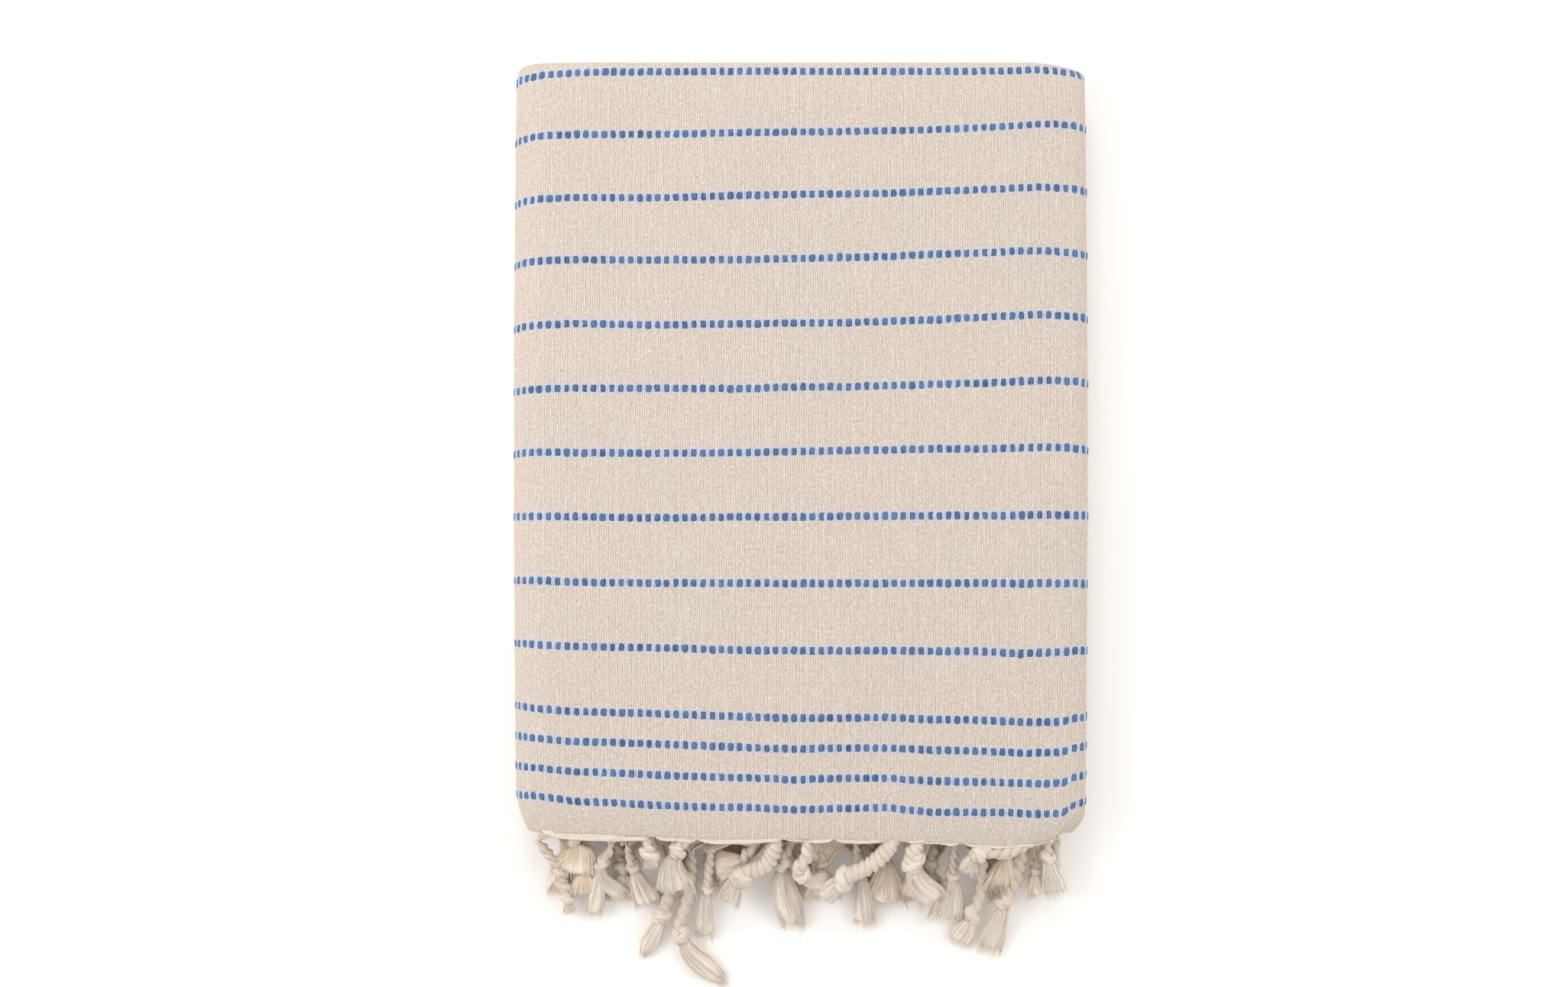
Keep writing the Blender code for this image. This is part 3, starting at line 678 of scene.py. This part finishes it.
# Every tassel: its kind of cord, the way down to its knot, the ends of its brush, how wide that fans with
# the share left at its tip and how soon it opens, and where along the hem its threads are gathered from and
# in which layer. Places are across, out from the hem, and height, all in mm.
tasselColumns = ("kind", "way", "knot", "ends", "fan", "gather")
shownTassels = [
    ("lumpy", [(-115.5, 1.5, 18), (-109.3, 10.3, 14.5), (-106, 17.5, 12)], (-103.2, 29, 7),
     [(-102.5, 36, 4.6)], (7.5, 0.8, 0.8), (-115, -104, 3)),
    ("loose", [(-101, -1, 18)], (-99, 2, 17), [(-100.2, 17, 13.5)], (20, 1.0, 0.4), (-112, -92, 2)),
    ("thin", [(-83, 2.9, 17), (-84, 7, 16.2)], (-87.5, 12.5, 14.5),
     [(-92, 37.5, 4), (-78.8, 28.5, 6)], (9, 0.8, 0.8), (-95, -74, 2)),
    ("thin", [(-76, 3.6, 17)], (-73.7, 13.5, 12.5), [(-67, 33, 4)], (14, 0.9, 0.8), (-80, -68, 2)),
    ("rope", [(-67.2, -0.5, 24.5)], (-65.9, 6.5, 21.5), [(-65, 13.5, 18)], (7, 0.8, 0.8), (-117, -68, 3)),
    ("rope", [(-47.4, 0.2, 24.5)], (-53.5, 5.5, 22), [(-55, 24.5, 14.5)], (18, 1, 0.8), (-66, -44, 3)),
    ("rope", [(-55.7, 5, 13), (-57.5, 24, 6)], (-61.6, 37.5, 4.8),
     [(-70, 55.5, 1.8)], (9.5, 0.35, 0.5), (-66, -50, 1)),
    ("rope", [(-47.9, 7, 13), (-48.9, 26, 6)], (-53, 45.5, 5),
     [(-34, 67.5, 1.9)], (12.5, 0.35, 0.5), (-60, -40, 2)),
    ("thin", [(-39.4, 7, 14.5)], (-40.9, 23.5, 9.5), [(-42.2, 47, 2.4)], (8.5, 1, 0.8), (-46, -30, 1)),
    ("loose", [(-18, 2, 17)], (-24, 9, 14), [(-38, 16.5, 10)], (17, 1.0, 0.6), (-30, -12, 1)),
    ("tight", [(-9.5, -0.4, 25), (-14.5, 11, 21)], (-25.5, 18.4, 17),
     [(-31.5, 30, 11.5)], (12, 0.9, 0.8), (-46, -9, 3)),
    ("rope", [(-3.3, 2, 18)], (-7, 12, 15), [(-2.6, 42, 2.6)], (16, 0.66, 0.6), (-12, 4, 2)),
    ("rope", [(3, 0, 25), (2.7, 8.5, 22.5)], (0.5, 15.7, 19),
     [(13.5, 19.5, 15)], (9, 0.9, 0.8), (-7, 14, 3)),
    ("tight", [(42.4, -0.4, 25), (32, 11, 22)], (19.5, 18.2, 19.5),
     [(10, 28, 13)], (11, 0.9, 0.8), (15, 43, 3)),
    ("thin", [(24.7, 3, 14)], (26.9, 16.4, 11), [(29.2, 41.5, 2.6)], (12, 0.9, 0.8), (12, 34, 2)),
    ("loose", [(38, 2, 13)], (38.3, 9.5, 12), [(38, 31.5, 5.5)], (21, 1, 0.8), (28, 48, 1)),
    ("tight", [(52.8, 0, 25)], (49.6, 10, 22), [(59.5, 29.5, 13.5)], (15, 0.95, 0.8), (46, 72, 3)),
    ("thin", [(68.4, 3, 17)], (67.2, 17, 13), [(64.5, 38, 5)], (17, 0.9, 0.7), (60, 78, 2)),
    ("rope", [(80, 4, 13), (81.2, 22, 7.5)], (76.7, 36.5, 5.2),
     [(70.4, 50, 1.8)], (14, 0.8, 0.7), (70, 90, 1)),
    ("rope", [(100.5, 2.2, 25), (88, 6, 24.5)], (78, 7, 23.5),
     [(73.5, 15.5, 19)], (9, 0.9, 0.8), (74, 101, 3)),
    ("rope", [(98, 4, 17), (96, 18, 12)], (91.5, 30, 8.2), [(85, 53.5, 1.8)], (13, 0.8, 0.7), (84, 104, 2)),
    ("loose", [(92, 2, 16)], (91.5, 7.5, 15), [(91.9, 22.5, 11)], (19, 1, 0.8), (80, 100, 1)),
    ("thin", [(108.9, 0.5, 22.5)], (108.8, 8, 20), [(113.5, 26, 12)], (11, 0.9, 0.8), (101, 119, 3)),
]
hiddenTassels = [
    ("thin", [(-104, 1, 10.5)], (-97, 15, 12), [(-95, 27, 8)], (17, 1, 0.6), (-112, -94, 1)),
    ("thin", [(9, 1, 10.5)], (10, 14, 12), [(10, 29, 6.5)], (17, 1, 0.6), (0, 20, 1)),
    ("thin", [(51, 1, 10.5)], (51, 16, 10.5), [(50, 29, 6)], (17, 1, 0.6), (44, 60, 1)),
    ("thin", [(109, 1, 10.5)], (105, 15, 11.5), [(108, 27, 8)], (13, 1, 0.6), (100, 115, 1)),
]
# the lowest lie on the floor: root, knot across and out, brush end across and out, fan, gathered from, to
for root, knotX, knotOut, endX, endOut, fan, low, high in (
        (-105, -104, 15, -107, 28, 12, -110, -92),
        (-82, -79, 16, -79, 31, 20, -92, -70),
        (-55, -56.5, 17, -55, 30, 20, -68, -42),
        (-20, -26, 15, -38, 22, 20, -38, -12),
        (0, 1, 15, 3, 30, 20, -12, 12),
        (30, 32, 14.5, 35, 28, 20, 16, 42),
        (60, 58, 15, 58, 30, 20, 46, 70),
        (86, 86, 15, 93, 26, 20, 74, 98),
        (115, 112, 15, 113, 27, 11, 100, 118)):
    hiddenTassels.append(("rope", [(root, 1, 3.4)], (knotX, knotOut, 4.8), [(endX, endOut, 1.8)],
                          (fan, 1, 0.6), (low, high, 0)))
tassels = [dict(zip(tasselColumns, row)) for row in shownTassels + hiddenTassels]
moreKnots = {0: [(-106.2, 16.5, 12), (-104.6, 22.8, 9.4)]}      # the first one is knotted three times over
knotSize = {"flat": 0.86, "steps": 34, "sides": 12, "slack": 0.16}
# an overhand knot's two strands: where each begins and how often it turns, its low and high end, how far out
# and how thick it is, all but the first two as shares of the cord's radius
knotStrands = ((-0.3, 1.25, -0.62, 0.62, 0.80, 0.62), (0.35, 0.95, 0.72, -0.7, 0.98, 0.50))
brush = {
    "threads": 115, "radius": 0.23 * mm, "points": 7,
    "wisps": 70, "wispRadius": 0.085 * mm,
    "locks": 9, "uneven": 0.06, "stray": 0.05, "flat": 1.3 * mm,
    "usualFan": 7 * mm,          # half the fan that has just that many threads
    "neck": 0.74,                # of the cord's radius
    "leave": 0.42, "arrive": 0.3,            # how straight it leaves the knot and comes to its end
    "coreSides": 22, "coreSteps": 15, "coreLong": 0.98, "coreRound": 0.245,
}
gather = {
    "pitch": 0.95, "webPitch": 0.75,         # mm along the hem from thread to thread
    "points": 11, "thin": 0.42, "thick": 0.66, "sag": 0.3 * mm,
    "out": 2.4 * mm, "outAt": 34 * mm,       # how far out a thread lies once it has come so far
    "floorGap": 0.7 * mm,
}


def toScene(spots):
    # from across, out and height in mm to the scene's x, y, z
    spots = np.atleast_2d(np.array(spots, float)) * mm
    return np.stack([spots[:, 0], -fold["length"] / 2 - spots[:, 1], spots[:, 2]], 1)


def offFloor(points, gap=0.05 * mm):
    points[..., 2] = np.maximum(points[..., 2], gap)
    return points


def unit(vectors):
    return vectors / np.linalg.norm(vectors, axis=-1, keepdims=True)


def smoothLine(spots, step):
    # a Catmull-Rom curve through the spots, spaced evenly along its length
    ends = np.vstack([2 * spots[0] - spots[1], spots, 2 * spots[-1] - spots[-2]])
    p0, p1, p2, p3 = ends[:-3], ends[1:-2], ends[2:-1], ends[3:]
    t = np.linspace(0, 1, 16, endpoint=False)[:, None, None]
    dense = 0.5 * (2 * p1 + (p2 - p0) * t + (2 * p0 - 5 * p1 + 4 * p2 - p3) * t ** 2
                   + (3 * p1 - p0 - 3 * p2 + p3) * t ** 3)
    dense = np.vstack([dense.transpose(1, 0, 2).reshape(-1, 3), spots[-1:]])
    way = np.concatenate([[0.0], np.cumsum(np.linalg.norm(np.diff(dense, axis=0), axis=1))])
    even = np.linspace(0, way[-1], max(4, round(way[-1] / step) + 1))
    return np.stack([np.interp(even, way, dense[:, i]) for i in range(3)], 1), even


def ringsRound(paths, radii, angles, up=(0.0, 0.0, 1.0)):
    # path + radius (cos a side + sin a rise), with side square to the path and to up
    heading = unit(np.gradient(paths, axis=-2))
    side = unit(np.cross(heading, np.array(up, float) + 1e-6))
    rise = np.cross(side, heading)
    return (paths[..., None, :] + radii[..., None] * (np.cos(angles)[..., None] * side[..., None, :]
                                                      + np.sin(angles)[..., None] * rise[..., None, :]))


def addCord(heap, tassel, path, way):
    # two strands laid together: the section r = R (1 - g (1 - |cos a|^0.8)) turns once in a lead
    kind = cords[tassel["kind"]]
    base = circle(20)
    section = 1 - kind["groove"] * (1 - np.abs(np.cos(base)) ** 0.8)
    swell = 0.55 + 0.45 * ease(way / (6 * mm))
    slack = 1 + 0.05 * np.sin(way / mm * 1.7 + tassel["phase"])
    radii = tassel["radius"] * section * (swell * slack)[:, None]
    angles = base + (way / (kind["lead"] * mm) * 2 * np.pi + tassel["phase"])[:, None]
    rings = offFloor(ringsRound(path, radii, angles))
    addTubes(heap, rings[None], way, 2 * np.pi * tassel["radius"])


def addKnot(heap, tassel, knot, fall):
    # an overhand knot drawn tight: a strand winds round the axis and another crosses back over it
    size = tassel["radius"]
    side = unit(np.cross(fall, (0.0, 0.0, 1.0)))
    rise = np.cross(side, fall)
    t = np.linspace(0, 1, knotSize["steps"])
    for begin, turns, low, high, reach, thick in knotStrands:
        angle = 2 * np.pi * (begin + turns * t) + tassel["phase"]
        tuck = ease(t / knotSize["slack"]) * ease((1 - t) / knotSize["slack"])
        swing = size * reach * (0.45 + 0.55 * tuck)
        level = size * (low + (high - low) * ease(t)) * 1.15
        path = (knot + level[:, None] * fall + (swing * np.cos(angle))[:, None] * side
                + (knotSize["flat"] * swing * np.sin(angle))[:, None] * rise)
        radii = (size * thick * (0.7 + 0.3 * tuck))[:, None]
        rings = offFloor(ringsRound(path, radii, circle(knotSize["sides"]), fall))
        addTubes(heap, rings[None], t * 2 * np.pi * turns * size, 2 * np.pi * size * thick)


def curveAt(corners, t):
    # the cubic curve of four corners at any shares t, and its heading there
    start, first, second, end = corners
    t = t[..., None]
    s = 1 - t
    spot = s ** 3 * start + 3 * s * s * t * first + 3 * s * t * t * second + t ** 3 * end
    heading = s * s * (first - start) + 2 * s * t * (second - first) + t * t * (end - second)
    return spot, unit(heading)


def brushShape(tassel, size, t):
    # half its width and half its thickness along the brush: it opens, flattens, and may draw in at the tip
    fan, tip, opening = tassel["fan"]
    wide = size + (fan * mm / 2 - size) * np.clip(t, 0, None) ** opening
    wide = wide * (1 - (1 - tip) * ease((t - 0.5) / 0.55))
    thick = size + (brush["flat"] - size) * ease(t * 0.95)
    return wide, thick


def addThreads(heap, tassel, corners, size, count, radius, loose):
    # threads in locks of uneven length round the brush's middle line; each lock's tips draw together
    reach = float(np.linalg.norm(corners[3] - corners[0]))
    points, locks = brush["points"], brush["locks"]
    step = np.linspace(0, 1, points)
    lock = chance.integers(0, locks, (count, 1))
    lockTurn = (np.arange(locks) + chance.uniform(-0.4, 0.4, locks)) * 2 * np.pi / locks
    lockDepth = chance.uniform(0.84, 1.0, locks)
    lockLong = chance.normal(0.98, brush["uneven"] * loose, locks)
    lockLean = chance.normal(0, 0.6, locks) * mm
    t = step * lockLong[lock] * chance.normal(1.0, 0.05 * loose, (count, 1))
    spot, heading = curveAt(corners, t)
    side = unit(np.cross(heading, (0.0, 0.0, 1.0)))
    rise = np.cross(side, heading)
    wide, thick = brushShape(tassel, size, t)
    spread = 1 - 0.4 * t
    turn = lockTurn[lock] + chance.normal(0, 0.45, (count, 1)) * spread
    depth = lockDepth[lock] + chance.normal(0, 0.07 * loose, (count, 1)) * spread
    wave = chance.normal(0, 0.15 * loose, (count, 1)) * mm
    wavy = wave * np.sin(step * chance.uniform(3, 8, (count, 1)) + 3 * turn) * t + lockLean[lock] * t ** 2
    astray = chance.uniform(size=(count, 1)) < brush["stray"] * loose
    stray = astray * chance.normal(0, 1.6, (count, 1)) * mm * t ** 2
    lines = (spot + (wide * np.cos(turn) * depth + wavy + stray)[..., None] * side
             + (thick * np.sin(turn) * depth + 0.4 * wavy + 0.4 * np.abs(stray))[..., None] * rise)
    thin = radius * chance.uniform(0.7, 1.25, (count, 1)) * (1 - 0.7 * step ** 3)
    sides = 4 if radius > 0.15 * mm else 3
    rings = ringsRound(offFloor(lines, radius + 0.04 * mm), thin[..., None], circle(sides))
    addTubes(heap, rings, step * reach, 1.6 * mm)


def addBrush(coreHeap, threadHeap, tassel, neck, fall):
    # soft threads side by side round a flat core, with finer wisps among them
    fuzzy = 1.8 if tassel["kind"] == "loose" else 1.0
    size = tassel["radius"] * brush["neck"]
    halfFan = tassel["fan"][0] * mm / 2
    for end in toScene(tassel["ends"]):
        reach = float(np.linalg.norm(end - neck))
        out = unit(end - neck)
        corners = (neck, neck + fall * reach * brush["leave"], end - out * reach * brush["arrive"], end)
        # the core, an oval section with soft ripples and a blunt end, just inside the threads
        t = np.linspace(0, brush["coreLong"], brush["coreSteps"])
        wide, thick = brushShape(tassel, size, t)
        base = circle(brush["coreSides"])
        ripple = 0.95 + 0.04 * np.cos(base * 7 + tassel["phase"]) + 0.03 * np.cos(base * 5 - t[:, None] * 3)
        blunt = np.sqrt(np.clip(1 - (np.clip(t - 0.74, 0, None) / brush["coreRound"]) ** 2, 0.03, 1))
        oval = ripple * blunt[:, None] / np.sqrt((np.cos(base) / wide[:, None]) ** 2
                                                 + (np.sin(base) / thick[:, None]) ** 2)
        rings = ringsRound(curveAt(corners, t)[0], oval, base)
        addTubes(coreHeap, offFloor(rings, 0.06 * mm)[None], t * reach, 4 * halfFan)
        count = round(brush["threads"] * halfFan / brush["usualFan"])
        wisps = brush["wisps"] // len(tassel["ends"])
        addThreads(threadHeap, tassel, corners, size, count, brush["radius"], fuzzy)
        addThreads(threadHeap, tassel, corners, size, wisps, brush["wispRadius"], 2.0 * fuzzy)


def addGather(heap, tassel, start, sides):
    # the towel's own warp ends: from places along the hem they bend over and run together to the cord, and
    # the further a thread has come, the further out it lies; hidden ones spread like a web down to the knot
    low, high, layer = tassel["gather"]
    count = max(9, round((high - low) / gather["webPitch" if tassel["hidden"] else "pitch"]))
    x = (np.linspace(low, high, count) + chance.normal(0, 0.2, count)) * mm
    up = 1.0 if layer in (1, 3) else -1.0
    hem = place(x, layerHeights[layer], 0.0, up, 0.0, 2 * fold["ply"])
    away = start[0] - x
    out = np.minimum(np.abs(away) / gather["outAt"], 1.0) * gather["out"] + 0.5 * mm
    root = start + chance.normal(0, 1, (count, 3)) * np.array((0.8, 0.5, 0.8)) * mm
    sag = np.stack([0 * x, 0 * x, chance.normal(0, gather["sag"], count)], 1)
    if tassel["hidden"]:
        root[:, 0] = start[0] + away * -0.14
        first = hem + (root - hem) * (0.1, 0.3, 0.1) + sag
        second = hem + (root - hem) * (0.75, 0.75, 0.8) + sag
    else:
        first = hem + np.stack([away * 0.1, -out * 1.5, 0 * x], 1) + sag
        back = np.maximum(out * -0.2, hem[:, 1] - root[:, 1] - out)
        second = root + np.stack([-away * 0.45, back, 0 * x], 1) + sag
    corners = (hem + np.array((0.0, 0.9, 0.0)) * mm, first, second, root)
    lines = curveAt([corner[:, None] for corner in corners], np.linspace(0, 1, gather["points"]))[0]
    radii = chance.uniform(gather["thin"], gather["thick"], (count, 1, 1)) * mm
    rings = ringsRound(offFloor(lines, gather["floorGap"]), radii, circle(sides))
    addTubes(heap, rings, np.linspace(0, 20 * mm, gather["points"]), 2.4 * mm)


# Every heap of the fringe: its piece, its yarn
fringePieces = {
    "cord": ("tasselCords", "cordYarn"),
    "knot": ("tasselKnots", "cordYarn"),
    "core": ("brushCores", "combedYarn"),
    "thread": ("brushThreads", "looseYarn"),
    # these two heaps take the painted-shade yarn, darker and warmer to stand for the shade they lie in under
    # the hem
    "inner": ("innerThreads", "paintedShadeYarn"),
    "web": ("innerWarpEnds", "paintedShadeYarn"),
    "gather": ("warpEnds", "warpEnds"),
}


def buildFringe():
    heaps = {name: startHeap() for name in fringePieces}
    for number, tassel in enumerate(tassels):
        tassel["phase"] = number * 1.37
        tassel["hidden"] = number >= len(shownTassels)
        kind = cords[tassel["kind"]]
        tassel["radius"] = kind["radius"] * mm
        way, knot = toScene(tassel["way"]), toScene(tassel["knot"])[0]
        end = toScene(tassel["ends"]).mean(axis=0)
        fall = unit(unit(end - knot) + 0.8 * unit(knot - way[-1]))
        halfKnot = fall * tassel["radius"] * 0.9
        path, along = smoothLine(np.vstack([way, [knot - halfKnot, knot + halfKnot]]), kind["ring"] * mm)
        if tassel["hidden"]:
            addGather(heaps["web"], tassel, knot, 4)
        else:
            addGather(heaps["gather"], tassel, way[0], 5)
        addCord(heaps["cord"], tassel, path, along)
        for spot in [tassel["knot"], *moreKnots.get(number, [])]:
            addKnot(heaps["knot"], tassel, toScene(spot)[0], fall)
        # the hidden brushes and the loose ones get threads in the painted-shade yarn, darker and warmer for
        # the shade under the hem
        inside = tassel["hidden"] or tassel["kind"] == "loose"
        addBrush(heaps["core"], heaps["inner" if inside else "thread"], tassel, knot + halfKnot, fall)
    return heaps


heaps = buildFringe()
fringeYarns = dict.fromkeys(yarn for piece, yarn in fringePieces.values())
yarnMaterials = {name: yarnMaterial(name) for name in fringeYarns}
fringe = [makePiece(piece, outward(heaps[name]), yarnMaterials[yarn])
          for name, (piece, yarn) in fringePieces.items()]
for piece in fringe:
    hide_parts("fringe")

# Floor, light and camera
studio = {
    "floor": (0.960, 0.930, 0.895), "glow": 0.06, "floorHalf": 4.0, "floorLevel": -0.1 * mm,
    "world": 0.70, "lampSize": 0.6,
    "lamps": {
        "leftLamp": ((-0.78, 0.02, 0.62), 3.9),
        "rightLamp": ((0.80, 0.02, 0.70), 2.8),
        "farLamp": ((-0.1, 1.1, 0.85), 4.8),
    },
    "lens": 50.0, "camera": (-0.0070, -0.0191, 0.975),
}


def makeFloor():
    mesh = bpy.data.meshes.new("studioFloor")
    corners = [(x * studio["floorHalf"], y * studio["floorHalf"], studio["floorLevel"])
               for x, y in ((-1, -1), (1, -1), (1, 1), (-1, 1))]
    mesh.from_pydata(corners, [], [(0, 1, 2, 3)])
    material, tree, shader = startMaterial("studioFloor", 0.9, 0.0, (1, 1, 1))
    shader.inputs["Base Color"].default_value = (*studio["floor"], 1.0)
    shader.inputs["Emission Color"].default_value = (1.0, 1.0, 1.0, 1.0)
    shader.inputs["Emission Strength"].default_value = studio["glow"]
    mesh.materials.append(material)
    addToScene("studioFloor", mesh)


def makeLight():
    world = bpy.data.worlds.new("studioWorld")
    world.use_nodes = True
    world.node_tree.nodes["Background"].inputs["Color"].default_value = (1.0, 1.0, 1.0, 1.0)
    world.node_tree.nodes["Background"].inputs["Strength"].default_value = studio["world"]
    bpy.context.scene.world = world
    for name, (spot, energy) in studio["lamps"].items():      # all look at the middle
        lamp = bpy.data.lights.new(name, "AREA")
        lamp.energy = energy
        lamp.size = studio["lampSize"]
        holder = addToScene(name, lamp)
        holder.location = spot
        holder.rotation_euler = (-Vector(spot)).to_track_quat("-Z", "Y").to_euler()


def makeCamera():
    # straight above the towel, as in the photograph
    lens = bpy.data.cameras.new("photoCamera")
    lens.lens = studio["lens"]
    camera = addToScene("photoCamera", lens)
    camera.location = studio["camera"]
    bpy.context.scene.camera = camera


makeFloor()
makeLight()
makeCamera()
bpy.context.scene.view_settings.view_transform = "Standard"
print("stage set")
